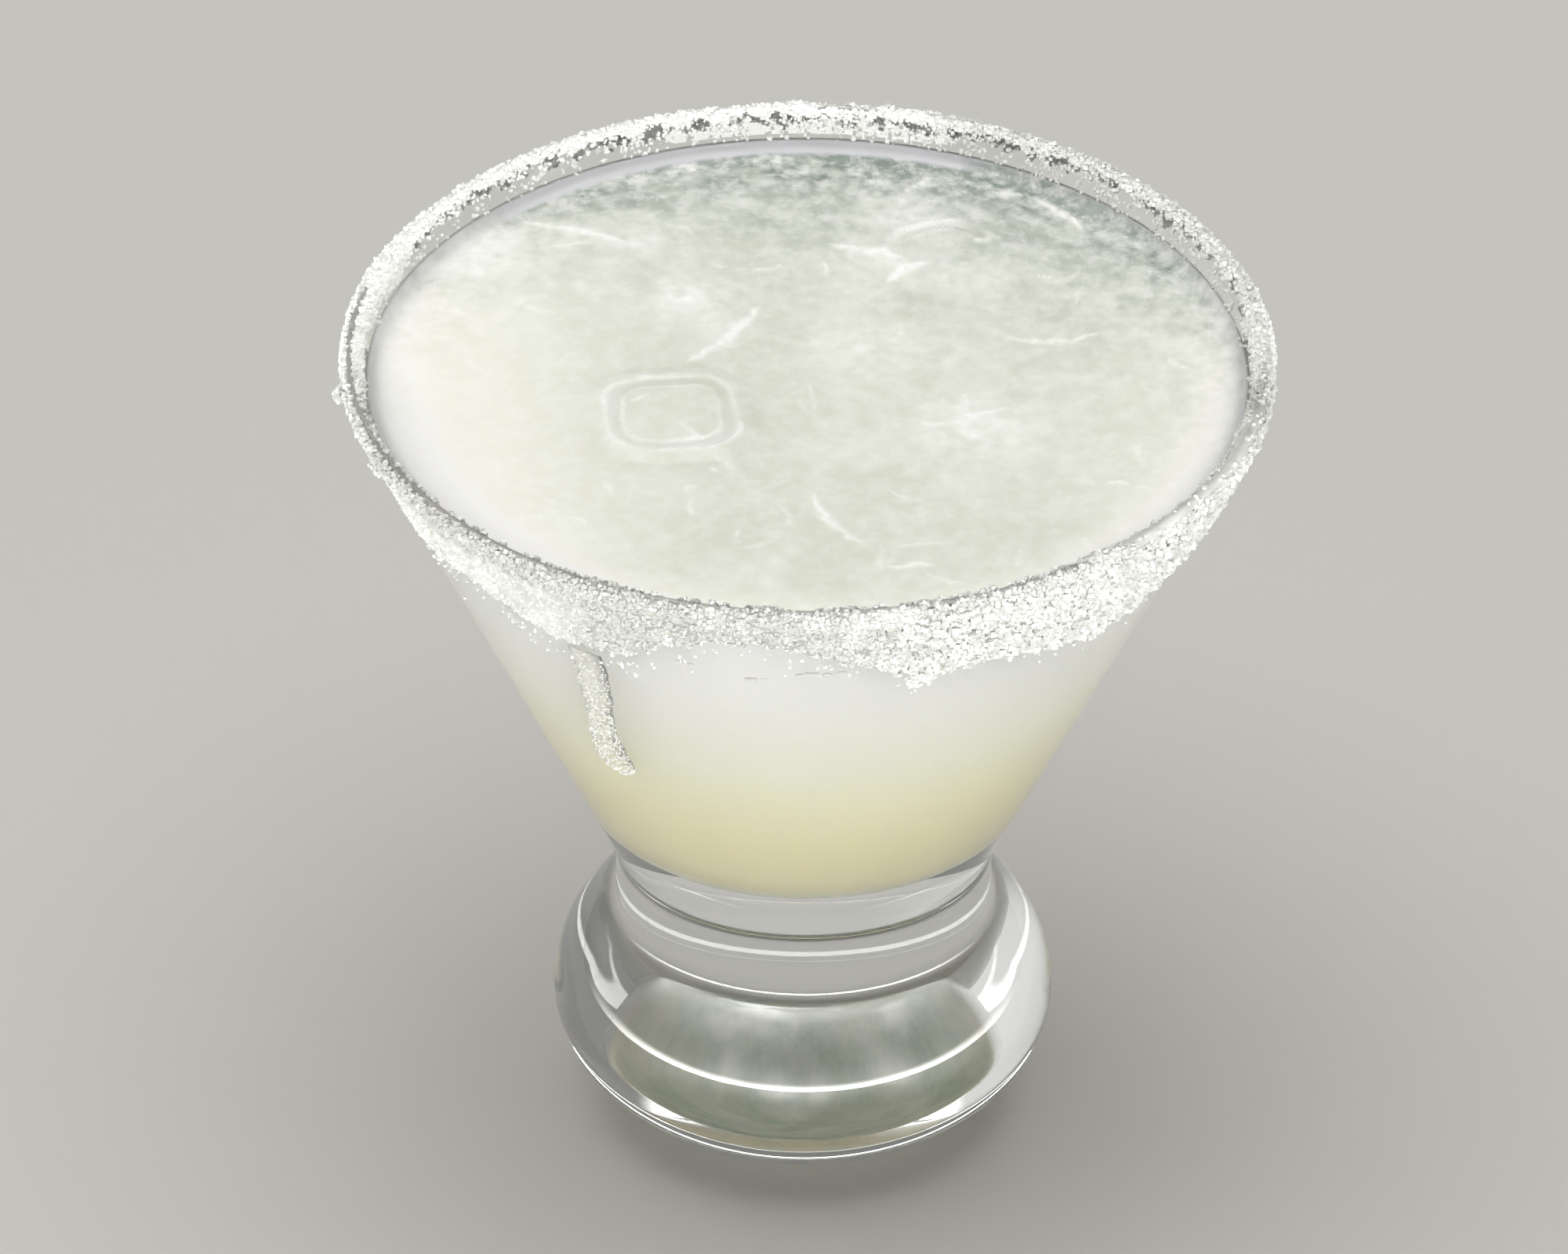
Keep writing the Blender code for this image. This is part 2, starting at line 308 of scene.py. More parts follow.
def foot_profile():
    """The foot from the middle of its flat underside, up a short slope and round to the crease."""
    points = [(0.0, 0.0), (FOOT_FLAT_RADIUS * 0.5, 0.0), (FOOT_FLAT_RADIUS - FOOT_EASE, 0.0)]
    points.append((FOOT_FLAT_RADIUS + FOOT_EASE, FOOT_EASE_RISE))
    points.append((FOOT_FLAT_RADIUS + FOOT_SLOPE[0], FOOT_SLOPE[1]))
    lowest = -math.asin((FOOT_WIDEST_HEIGHT - FOOT_EDGE_HEIGHT) / FOOT_DROP)
    highest = math.acos((CREASE_RADIUS + 0.4 * CREASE_FILLET) / FOOT_RADIUS)
    for i in range(25):
        angle = lowest * (1 - i / 24)
        points.append((FOOT_RADIUS * math.cos(angle), FOOT_WIDEST_HEIGHT + FOOT_DROP * math.sin(angle)))
    for i in range(1, 20):
        angle = highest * i / 20
        points.append((FOOT_RADIUS * math.cos(angle), FOOT_WIDEST_HEIGHT + FOOT_RISE * math.sin(angle)))
    return points


def crease_height(radius):
    return FOOT_WIDEST_HEIGHT + FOOT_RISE * math.sqrt(1 - (radius / FOOT_RADIUS) ** 2)


def neck_profile():
    past_fillet = CREASE_RADIUS + 0.4 * CREASE_FILLET
    foot_side = (past_fillet, crease_height(past_fillet))
    crease = (CREASE_RADIUS, crease_height(CREASE_RADIUS))
    neck_top = (NECK_TOP_RADIUS, NECK_TOP_HEIGHT)
    on_cone = (NECK_TOP_RADIUS + math.sin(OUTER_LEAN), NECK_TOP_HEIGHT + math.cos(OUTER_LEAN))
    points = fillet(foot_side, crease, neck_top, CREASE_FILLET, 8)
    return points + fillet(crease, neck_top, on_cone, NECK_TOP_ROUNDING, 8)


def lip_profile():
    return arc(LIP_CENTRE, LIP_RADIUS, -math.degrees(OUTER_LEAN), 180 - math.degrees(INNER_LEAN), 14)


def cavity_profile(shrink=0.0):
    """The cavity from its straight wall down to the middle of its floor, or a shape inside it."""
    sideways = shrink / math.cos(INNER_LEAN)
    floor = CAVITY_FLOOR + shrink
    corner = (cavity_radius(floor) - sideways, floor)
    top = (cavity_radius(GLASS_HEIGHT) - sideways, GLASS_HEIGHT)
    rounding = fillet(top, corner, (0.0, floor), CAVITY_ROUNDING - shrink, 16)
    return rounding + [(rounding[-1][0] * 0.5, floor), (0.0, floor)]


def new_object(name, shape):
    """Makes the object of a bmesh, facing out and shaded smooth."""
    bmesh.ops.recalc_face_normals(shape, faces=shape.faces)
    mesh = bpy.data.meshes.new(name)
    shape.to_mesh(mesh)
    shape.free()
    mesh.shade_smooth()
    made = bpy.data.objects.new(name, mesh)
    bpy.context.scene.collection.objects.link(made)
    return made


def join_rings(shape, rings):
    """Faces between each ring of vertices and the next."""
    for here, there in zip(rings, rings[1:]):
        for step in range(len(here)):
            after = (step + 1) % len(here)
            shape.faces.new((here[step], here[after], there[after], there[step]))


def turned(name, profile):
    """A closed solid turned about Z from a profile that starts and ends on the axis."""
    shape = bmesh.new()
    last = None
    for radius, height in profile:
        vertex = shape.verts.new((radius * MM, 0.0, height * MM))
        if last:
            shape.edges.new((last, vertex))
        last = vertex
    bmesh.ops.spin(
        shape,
        geom=list(shape.verts) + list(shape.edges),
        axis=(0, 0, 1),
        cent=(0, 0, 0),
        angle=math.tau,
        steps=TURN_STEPS,
        use_merge=True,
    )
    bmesh.ops.remove_doubles(shape, verts=shape.verts, dist=WELD_WITHIN * MM)
    return new_object(name, shape)


def place(piece, look, *replaced, slot=None):
    """Gives a piece its material and its place in the frame."""
    piece.data.materials.append(look)
    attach(piece, "root")
    if replaced:
        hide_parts(*replaced)


def principled(name):
    made = bpy.data.materials.new(name)
    made.use_nodes = True
    return made, made.node_tree, made.node_tree.nodes["Principled BSDF"]


def noise_of(tree, scale, detail=3.0, roughness=0.5):
    """A noise in object space, in turns per metre."""
    place_of = tree.nodes.new("ShaderNodeTexCoord")
    texture = tree.nodes.new("ShaderNodeTexNoise")
    texture.inputs["Scale"].default_value = scale
    texture.inputs["Detail"].default_value = detail
    texture.inputs["Roughness"].default_value = roughness
    tree.links.new(place_of.outputs["Object"], texture.inputs["Vector"])
    return texture.outputs["Fac"]


def ramp_of(tree, source, *stops):
    """A colour ramp from (position, colour) stops."""
    ramp = tree.nodes.new("ShaderNodeValToRGB")
    elements = ramp.color_ramp.elements
    while len(elements) < len(stops):
        elements.new(0.5)
    for element, (position, colour) in zip(elements, stops):
        element.position = position
        element.color = (*colour, 1.0)
    tree.links.new(source, ramp.inputs["Fac"])
    return ramp.outputs["Color"]


def grey(value):
    """The colour that stands for a plain number."""
    return (value, value, value)


def attribute_of(tree, name):
    found = tree.nodes.new("ShaderNodeAttribute")
    found.attribute_name = name
    return found.outputs["Fac"]


def mix_of(tree, share, first, second):
    """Mixes two colours, each an output or a plain colour."""
    mix = tree.nodes.new("ShaderNodeMix")
    mix.data_type = "RGBA"
    tree.links.new(share, mix.inputs["Factor"])
    for socket, colour in ((mix.inputs[6], first), (mix.inputs[7], second)):
        if isinstance(colour, tuple):
            socket.default_value = (*colour, 1.0)
        else:
            tree.links.new(colour, socket)
    return mix.outputs[2]


def product_of(tree, first, second):
    product = tree.nodes.new("ShaderNodeMath")
    product.operation = "MULTIPLY"
    tree.links.new(first, product.inputs[0])
    tree.links.new(second, product.inputs[1])
    return product.outputs["Value"]


def glass_look():
    """Clear glass with faint smears, frosted in patches where it stands and clouded a little at the lip;
    where frosted or clouded it is tinted dark green, straw and pink, a painted view of the drink and the
    dark surroundings seen through the foot.
    """
    made, tree, shader = principled("clear glass")
    patches = ramp_of(tree, noise_of(tree, 90.0, 6.0, 0.65), (0.36, grey(0.6)), (0.5, grey(1.0)))
    frosted = product_of(tree, patches, attribute_of(tree, "frosted"))
    # Painted: dark green, straw and pink stand for the drink and the dark surroundings seen through the
    # foot.
    green, straw, pink = (0.27, 0.36, 0.29), (0.46, 0.49, 0.4), (0.62, 0.58, 0.5)
    seen_through_tint = ramp_of(tree, noise_of(tree, 75.0, 6.0, 0.65), (0.4, green), (0.52, straw), (0.62, pink))
    colour = mix_of(tree, frosted, (0.985, 0.995, 0.99), seen_through_tint)
    tree.links.new(colour, shader.inputs["Base Color"])
    tree.links.new(mix_of(tree, frosted, grey(1.0), grey(0.25)), shader.inputs["Transmission Weight"])
    smears = ramp_of(tree, noise_of(tree, 45.0, 2.0), (0.5, grey(0.0)), (0.8, grey(0.04)))
    tree.links.new(mix_of(tree, frosted, smears, grey(0.15)), shader.inputs["Roughness"])
    tree.links.new(mix_of(tree, frosted, grey(0.5), grey(0.0)), shader.inputs["Specular IOR Level"])
    shader.inputs["IOR"].default_value = 1.5
    return made


def drink_look():
    """Near white high on its sides and lighter again at its very bottom, painted light for the light that
    glows through it; straw low down; greyer where it is clear, painted shade for the dark surroundings seen
    through it; whiter with pulp.
    """
    made, tree, shader = principled("cloudy lemonade")
    coordinates = tree.nodes.new("ShaderNodeTexCoord")
    split = tree.nodes.new("ShaderNodeSeparateXYZ")
    tree.links.new(coordinates.outputs["Object"], split.inputs["Vector"])
    height = tree.nodes.new("ShaderNodeMapRange")
    height.inputs["From Min"].default_value = CAVITY_FLOOR * MM
    height.inputs["From Max"].default_value = DRINK_LEVEL * MM
    tree.links.new(split.outputs["Z"], height.inputs["Value"])
    # Lighter again at the very bottom, and near white high on the sides: painted light, standing for the
    # light that glows through the drink.
    body = ramp_of(
        tree,
        height.outputs["Result"],
        (0.0, (0.88, 0.87, 0.73)),
        (0.04, (0.78, 0.73, 0.51)),
        (0.2, (0.85, 0.81, 0.585)),
        (0.5, (0.975, 0.965, 0.835)),
        (0.85, (1.0, 1.0, 0.945)),
        (0.99, (1.0, 1.0, 0.95)),
        (1.0, (0.70, 0.725, 0.645)),
    )
    # Painted light: the surface is made warmer and brighter towards the left and by the wall.
    with_painted_light = mix_of(tree, attribute_of(tree, "painted_light"), body, (0.975, 0.965, 0.9))
    # Painted shade: grey at the clear far side stands for the dark surroundings seen through the drink.
    clear = mix_of(tree, attribute_of(tree, "clear"), with_painted_light, (0.20, 0.25, 0.23))
    # The pulp attribute also holds the painted highlights round the ice.
    pulpy = mix_of(tree, attribute_of(tree, "pulp"), clear, (0.95, 0.96, 0.94))
    fleck = ramp_of(tree, noise_of(tree, 380.0, 8.0, 0.7), (0.45, grey(0.0)), (0.66, grey(1.0)))
    flecks = product_of(tree, fleck, attribute_of(tree, "fleck"))
    flecked = mix_of(tree, flecks, pulpy, (0.96, 0.965, 0.94))
    # Painted highlight: near white where the edge of the ice stands bare.
    painted_ice_edge_highlight = mix_of(tree, attribute_of(tree, "painted_ice_edge_highlight"), flecked, (0.985, 0.985, 0.95))
    # Painted reflection: the meniscus at the far side is coloured pale lavender where it would mirror a
    # light.
    painted_sheen = mix_of(tree, attribute_of(tree, "painted_sheen"), painted_ice_edge_highlight, (0.74, 0.75, 0.80))
    tree.links.new(painted_sheen, shader.inputs["Base Color"])
    gloss = ramp_of(tree, height.outputs["Result"], (0.985, grey(0.0)), (1.0, grey(0.5)))
    tree.links.new(gloss, shader.inputs["Specular IOR Level"])
    shader.inputs["Roughness"].default_value = 0.1
    shader.inputs["IOR"].default_value = 1.34
    shader.inputs["Subsurface Weight"].default_value = 1.0
    shader.inputs["Subsurface Radius"].default_value = (1.0, 1.0, 0.92)
    reach = ramp_of(tree, height.outputs["Result"], (0.97, grey(0.017)), (0.995, grey(0.006)))
    tree.links.new(reach, shader.inputs["Subsurface Scale"])
    return made


def ice_look():
    """Clear ice, a little cloudy."""
    made, tree, shader = principled("melting ice")
    cloudy = ramp_of(tree, noise_of(tree, 260.0, 4.0, 0.6), (0.4, grey(0.02)), (0.75, grey(0.22)))
    tree.links.new(cloudy, shader.inputs["Roughness"])
    shader.inputs["Base Color"].default_value = (0.985, 0.995, 0.985, 1.0)
    shader.inputs["Transmission Weight"].default_value = 1.0
    shader.inputs["IOR"].default_value = 1.31
    return made


def sugar_look(name, dry, wet, roughness):
    """White sugar that turns greyer where it is damp, and where painted shade lies on it."""
    made, tree, shader = principled(name)
    grain = ramp_of(tree, noise_of(tree, 1400.0, 2.0), (0.3, tuple(0.92 * v for v in dry)), (0.7, dry))
    tree.links.new(mix_of(tree, attribute_of(tree, "wet"), grain, wet), shader.inputs["Base Color"])
    shader.inputs["Roughness"].default_value = roughness
    shader.inputs["IOR"].default_value = 1.5
    shader.inputs["Subsurface Weight"].default_value = 0.3
    shader.inputs["Subsurface Radius"].default_value = (1.0, 1.0, 1.0)
    shader.inputs["Subsurface Scale"].default_value = 0.0006
    return made


def syrup_look():
    made, _, shader = principled("dried syrup")
    shader.inputs["Base Color"].default_value = (1.0, 0.995, 0.96, 1.0)
    shader.inputs["Transmission Weight"].default_value = 0.9
    shader.inputs["Roughness"].default_value = 0.4
    shader.inputs["IOR"].default_value = 1.25
    return made


def make_glass():
    glass = turned("glass_clear", foot_profile() + neck_profile() + lip_profile() + cavity_profile())
    frosted = glass.data.attributes.new("frosted", "FLOAT", "POINT")
    for vertex, value in zip(glass.data.vertices, frosted.data):
        if vertex.co.z < FROSTED_BELOW * MM:
            value.value = 1.0
        elif vertex.co.z > (GLASS_HEIGHT - LIP_FILM_DEPTH) * MM:
            value.value = LIP_FILM
    place(glass, glass_look(), "glass", slot="clear_glass")


def bump_of(angle, centre, width):
    """A smooth bump of height 1 round an angle, all in degrees."""
    away = (angle - centre + 180) % 360 - 180
    return math.exp(-((away / width) ** 2))


def smooth(low, high, value):
    """0 below low and 1 above high, with a smooth rise between."""
    share = min(max((value - low) / (high - low), 0.0), 1.0)
    return share * share * (3 - 2 * share)


def plateau(angle, start, end, fade):
    """1 between two angles, easing to 0 beyond them."""
    half = (end - start) / 2
    away = abs((angle - start - half + 180) % 360 - 180)
    return 1 - smooth(half, half + fade, away)


def mottle(x, y, scale, seed):
    return noise.fractal(Vector((x * scale, y * scale, seed)), 0.9, 2.1, 4)


def stray_wisps():
    """Short faint fibres of pulp, anywhere in the surface."""
    draw = random.Random(WISP_SEED)
    wisps = []
    for _ in range(STRAY_WISPS):
        angle, radius = draw.uniform(0, math.tau), 48 * math.sqrt(draw.random())
        start = (radius * math.cos(angle), radius * math.sin(angle))
        length, turn = draw.uniform(1.5, 6.0), draw.uniform(0, math.tau)
        end = (start[0] + length * math.cos(turn), start[1] + length * math.sin(turn))
        bow, width, strength = draw.uniform(-0.8, 0.8), draw.uniform(0.22, 0.45), draw.uniform(0.2, 0.75)
        wisps.append((start, end, bow, width, strength))
    return wisps


def wisp_at(x, y, wisp):
    """How strongly a wisp of pulp shows at a point."""
    start, end, bow, width, strength = wisp
    run_x, run_y = end[0] - start[0], end[1] - start[1]
    length = math.hypot(run_x, run_y)
    from_x, from_y = x - start[0], y - start[1]
    share = (from_x * run_x + from_y * run_y) / length**2
    if share < -0.1 or share > 1.1:
        return 0.0
    away = (from_y * run_x - from_x * run_y) / length - bow * 4 * share * (1 - share)
    if abs(away) > 3 * width + 1:
        return 0.0
    away -= 0.5 * mottle(x, y, 0.5, 7.0)
    taper = width * (0.35 + 0.65 * math.sin(math.pi * min(max(share, 0.0), 1.0)))
    fade = smooth(-0.1, 0.1, share) * (1 - smooth(0.85, 1.1, share))
    fibrous = 0.75 + 0.5 * mottle(x, y, 1.6, 8.0)
    return strength * fade * fibrous * math.exp(-((away / taper) ** 2))


def ice_edge_at(x, y, facts):
    """Distance outside the outline that a piece of ice shows in the surface, and the direction from it."""
    turn = -math.radians(facts["turn"])
    from_x, from_y = x - facts["at"][0], y - facts["at"][1]
    across = from_x * math.cos(turn) - from_y * math.sin(turn)
    along = from_x * math.sin(turn) + from_y * math.cos(turn)
    flat = facts["size"] / 2 - ICE_SHOWN_IN - ICE_CORNER
    over_x, over_y = abs(across) - flat, abs(along) - flat
    outside = math.hypot(max(over_x, 0.0), max(over_y, 0.0)) + min(max(over_x, over_y), 0.0)
    outside += 0.6 * mottle(x, y, 0.12, 21.0)
    return outside - ICE_CORNER, math.degrees(math.atan2(from_y, from_x)) % 360


def ice_clearness(direction, facts):
    """How clearly a piece of ice shows at a side of it: most on its brightest sides, where its painted
    highlights are strongest.
    """
    most = max(bump_of(direction, middle, width) for middle, width in facts["brightest"])
    return facts["least"] + (1 - facts["least"]) * most


def ice_painted_highlight_at(x, y):
    """Painted highlights: two pale broken lines round each piece of ice, one at either side of its edge."""
    line = 0.0
    for facts in ICE.values():
        away, direction = ice_edge_at(x, y, facts)
        if abs(away) < 4:
            broken = ice_clearness(direction, facts) * (0.8 + 0.8 * mottle(x, y, 0.4, 13.0))
            outer = math.exp(-(((away - 0.2) / 0.35) ** 2))
            inner = 0.9 * math.exp(-(((away + ICE_BARE_EDGE + 0.2) / 0.25) ** 2))
            line = max(line, facts["line"] * broken * (outer + inner))
    return line


def ice_shown_at(x, y):
    """1 where the edge of a piece of ice stands bare out of the drink; this lowers the drink there and sets
    a painted highlight.
    """
    shown = 0.0
    for facts in ICE.values():
        away, direction = ice_edge_at(x, y, facts)
        if -3 < away < 0:
            edge = smooth(0.0, 0.5, -away) * (1 - smooth(ICE_BARE_EDGE - 0.5, ICE_BARE_EDGE, -away))
            shown = max(shown, ice_clearness(direction, facts) * edge)
    return shown


def ice_lift_at(x, y):
    """The drink slopes up to the ice, dips round its bare edge and lies as a film over the rest."""
    lift = 0.0
    for facts in ICE.values():
        away, _ = ice_edge_at(x, y, facts)
        if away < ICE_SLOPE:
            lift = (facts["proud"] + ICE_FILM) * (1 - smooth(0.0, ICE_SLOPE, away))
    return lift - ICE_DIP * ice_shown_at(x, y)


def pulp_and_ice_highlight_at(x, y, wisps):
    """Pulp in the surface: clouds, a soft mottle and the wisps, with the painted highlights round the ice
    added in.
    """
    fine = 0.5 + 0.5 * mottle(x, y, 0.7, 5.0)
    cloud = 0.0
    for middle, radius, strength in CLOUDS:
        gap = math.hypot(x - middle[0], y - middle[1]) / radius
        if gap < 2.5:
            cloud += strength * math.exp(-(gap**2)) * (0.3 + 1.1 * fine)
    threads = max(wisp_at(x, y, wisp) for wisp in wisps)
    soft = 0.26 * mottle(x, y, 0.11, 3.0) + 0.14 * mottle(x, y, 0.4, 4.0)
    return min(1.0, max(0.0, 0.06 + soft + 0.8 * cloud + threads + ice_painted_highlight_at(x, y)))


def clear_and_painted_shade_at(x, y, pulp):
    """The far side is clearer than the rest and painted greyer, most of all at the glass: painted shade for
    the dark surroundings seen through it.
    """
    angle = math.degrees(math.atan2(y, x)) % 360
    inward = cavity_radius(DRINK_LEVEL) - math.hypot(x, y)
    patchy = 0.85 + 0.6 * mottle(x, y, 0.22, 11.0) + 0.4 * mottle(x, y, 0.8, 12.0)
    near = 1.15 * math.exp(-inward / 6.0) + 0.68 * math.exp(-inward / 16.0)
    return min(0.9, max(0.0, near * patchy * bump_of(angle, *CLEAR_SHADED_SIDE) * (1 - 0.6 * pulp)))


def painted_light_at(x, y):
    """Painted light, to lift the shade by the wall: warmer and brighter towards the left, a little at the
    right, and near the wall towards the front.
    """
    left = 0.8 * smooth(10.0, 50.0, -x - 0.1 * y)
    right = 0.45 * smooth(26.0, 50.0, x)
    edge = 0.7 * smooth(42.0, 51.0, math.hypot(x, y)) * smooth(20.0, -10.0, y)
    return min(1.0, left + right + edge)


def drink_rings():
    """Radius and height of the rings of the drink's mesh, and how many of them lie in its surface."""
    wall = cavity_radius(DRINK_LEVEL) + INTO_WALL
    flat = wall - MENISCUS_WIDTH
    rings = [(flat * (i + 1) / SURFACE_RINGS, DRINK_LEVEL) for i in range(SURFACE_RINGS)]
    for step in range(1, MENISCUS_RINGS + 1):
        share = step / MENISCUS_RINGS
        rings.append((flat + MENISCUS_WIDTH * share, DRINK_LEVEL + MENISCUS_RISE * share**3))
    count = len(rings)
    top = DRINK_LEVEL + MENISCUS_RISE + 0.1
    rings.append((cavity_radius(top) + INTO_WALL / math.cos(INNER_LEAN), top))
    below = cavity_profile(shrink=-INTO_WALL)
    start = Vector(rings[-1])
    rings += [tuple(start.lerp(Vector(below[0]), i / WALL_RINGS)) for i in range(1, WALL_RINGS)]
    return rings + below[:-1], count


def surface_values(x, y, wisps):
    """What the drink's look needs to know at a point of its surface."""
    pulp = pulp_and_ice_highlight_at(x, y, wisps)
    clear = clear_and_painted_shade_at(x, y, pulp)
    angle = math.degrees(math.atan2(y, x)) % 360
    radius = math.hypot(x, y)
    # The painted reflection on the meniscus lies on its slope, at the far side only.
    rim = smooth(-MENISCUS_WIDTH, -0.4 * MENISCUS_WIDTH, radius - cavity_radius(DRINK_LEVEL))
    return {
        "pulp": pulp,
        # Painted shade at the far side, standing for the dark surroundings seen through the drink.
        "clear": clear,
        # Painted light towards the left and by the wall.
        "painted_light": painted_light_at(x, y),
        # Painted highlight along the bare edge of the ice.
        "painted_ice_edge_highlight": ice_shown_at(x, y),
        "fleck": min(1.0, 0.3 + 0.5 * clear),
        "painted_sheen": rim * plateau(angle, *MENISCUS_PAINTED_SHEEN),
    }


def surface_vertex(shape, layers, x, y, height, wisps):
    """A vertex of the drink's surface, lifted by its pulp and by the ice, that holds its values."""
    values = surface_values(x, y, wisps)
    from_meniscus = cavity_radius(DRINK_LEVEL) + INTO_WALL - MENISCUS_WIDTH - math.hypot(x, y)
    lift = PULP_RELIEF * values["pulp"] * smooth(0.0, 3.0, from_meniscus) + ice_lift_at(x, y)
    vertex = shape.verts.new((x * MM, y * MM, (height + lift) * MM))
    for name, value in values.items():
        vertex[layers[name]] = value
    return vertex


def make_drink():
    """The drink: a fine mesh of rings, whose surface holds the pulp as colour and as slight relief."""
    rings, on_top = drink_rings()
    shape = bmesh.new()
    layers = {}
    for name in ("pulp", "clear", "painted_light", "painted_ice_edge_highlight", "fleck", "painted_sheen"):
        layers[name] = shape.verts.layers.float.new(name)
    wisps = list(WISPS) + stray_wisps()
    grid = []
    for index, (radius, height) in enumerate(rings):
        ring = []
        for step in range(DRINK_STEPS):
            angle = math.tau * step / DRINK_STEPS
            x, y = radius * math.cos(angle), radius * math.sin(angle)
            if index < on_top:
                ring.append(surface_vertex(shape, layers, x, y, height, wisps))
            else:
                ring.append(shape.verts.new((x * MM, y * MM, height * MM)))
        grid.append(ring)
    join_rings(shape, grid)
    for ring, height in ((grid[0], DRINK_LEVEL), (grid[-1], rings[-1][1])):
        middle = shape.verts.new((0.0, 0.0, height * MM))
        for step in range(DRINK_STEPS):
            shape.faces.new((middle, ring[step], ring[(step + 1) % DRINK_STEPS]))
    drink = new_object("drink", shape)
    place(drink, drink_look(), "lemonade", slot="cloudy_drink")


def block_ring(half, corner, steps=10):
    """Points round a square with rounded corners."""
    flat = half - corner
    points = []
    for quarter, (side_x, side_y) in enumerate(((1, 1), (-1, 1), (-1, -1), (1, -1))):
        for step in range(steps + 1):
            angle = math.pi / 2 * (quarter + step / steps)
            across = side_x * flat + corner * math.cos(angle)
            along = side_y * flat + corner * math.sin(angle)
            points.append((across, along))
    return points


def ice_block(size):
    """A block with round corners and edges, as melting leaves it."""
    profile = []
    for step in range(9):
        angle = math.pi / 2 * step / 8
        height = size / 2 - ICE_EDGE * (1 - math.cos(angle))
        profile.append((ICE_EDGE * (1 - math.sin(angle)), height))
    profile += [(inset, -height) for inset, height in reversed(profile)]
    outlines = []
    for share in (0.25, 0.5, 0.75):
        outline = block_ring(share * (size / 2 - ICE_EDGE), share * (ICE_CORNER - ICE_EDGE))
        outlines.append((outline, size / 2))
    for inset, height in profile:
        outlines.append((block_ring(size / 2 - inset, ICE_CORNER - inset), height))
    shape = bmesh.new()
    grid = []
    for outline, height in outlines:
        grid.append([shape.verts.new((x * MM, y * MM, height * MM)) for x, y in outline])
    join_rings(shape, grid)
    shape.faces.new(grid[0])
    shape.faces.new(list(reversed(grid[-1])))
    return shape


def make_ice():
    look = ice_look()
    for name, facts in ICE.items():
        shape = ice_block(facts["size"])
        middle = Vector((*facts["at"], DRINK_LEVEL + facts["proud"] - facts["size"] / 2)) * MM
        shape.transform(Matrix.Translation(middle) @ Matrix.Rotation(math.radians(facts["turn"]), 4, "Z"))
        cube = new_object(name.replace("ice_cube", "ice_melted"), shape)
        place(cube, look, name, slot="ice")


def lip_point(along):
    """Point and outward normal on the glass's profile, at a length from the top of the lip."""
    if along < 0:
        round_length = LIP_RADIUS * (math.pi / 2 + OUTER_LEAN)
        angle = math.pi / 2 - min(-along, round_length) / LIP_RADIUS
        down = Vector((-math.sin(OUTER_LEAN), -math.cos(OUTER_LEAN)))
    else:
        round_length = LIP_RADIUS * (math.pi / 2 - INNER_LEAN)
        angle = math.pi / 2 + min(along, round_length) / LIP_RADIUS
        down = Vector((-math.sin(INNER_LEAN), -math.cos(INNER_LEAN)))
    normal = Vector((math.cos(angle), math.sin(angle)))
    return Vector(LIP_CENTRE) + normal * LIP_RADIUS + down * max(0.0, abs(along) - round_length), normal


def on_lip(angle, along, away):
    """The place in space at an angle in degrees, a length along the profile and a height over the glass."""
    point, normal = lip_point(along)
    flat = point + normal * away
    turn = math.radians(angle)
    return Vector((flat.x * math.cos(turn), flat.x * math.sin(turn), flat.y))


def sugar_reach(angle):
    """How far the sugar runs down the outside and over the inside at an angle; 270 degrees is the front."""
    from_front = abs((angle - 90) % 360 - 180)
    front = 1 / (1 + math.exp((from_front - FRONT_HALF[0]) / FRONT_HALF[1]))
    waves = WAVES[0] * math.sin(math.radians(angle * WAVES[1] + WAVES[2]))
    notch = NOTCH_HEIGHT * bump_of(angle, *NOTCH)
    outer = LEAST_REACH + front * (FRONT_REACH - notch + waves)
    ragged = noise.fractal(Vector((angle * 0.5, 0.0, 9.0)), 0.9, 2.2, 4)
    fringe = noise.fractal(Vector((angle * 1.7, 5.0, 1.0)), 0.9, 2.2, 3)
    hanging = noise.fractal(Vector((angle * 0.35, 3.0, 2.0)), 0.8, 2.3, 3)
    inner = 1.0 + 0.9 * hanging
    inner += 2.0 * plateau(angle, *DEEP_INSIDE_LEFT)
    inner += 1.8 * plateau(angle, *DEEP_INSIDE_RIGHT)
    inner += 0.7 * plateau(angle, *INSIDE_FRONT_RIGHT)
    return outer + 1.3 * ragged + 0.8 * front * fringe, inner


def lip_bareness(angle):
    """1 where the round of the lip shows through, 0 where sugar covers it."""
    broken = 0.5 + 0.9 * noise.fractal(Vector((angle * 0.3, 1.0, 5.0)), 0.8, 2.2, 3)
    front = 0.55 * broken * plateau(angle, *BARE_FRONT)
    return max(plateau(angle, *BARE_LEFT), front, 0.8 * plateau(angle, *BARE_BACK))


def lip_glaze(angle):
    """1 where the lip carries only a thin smooth glaze of sugar."""
    return plateau(angle, *GLAZED)


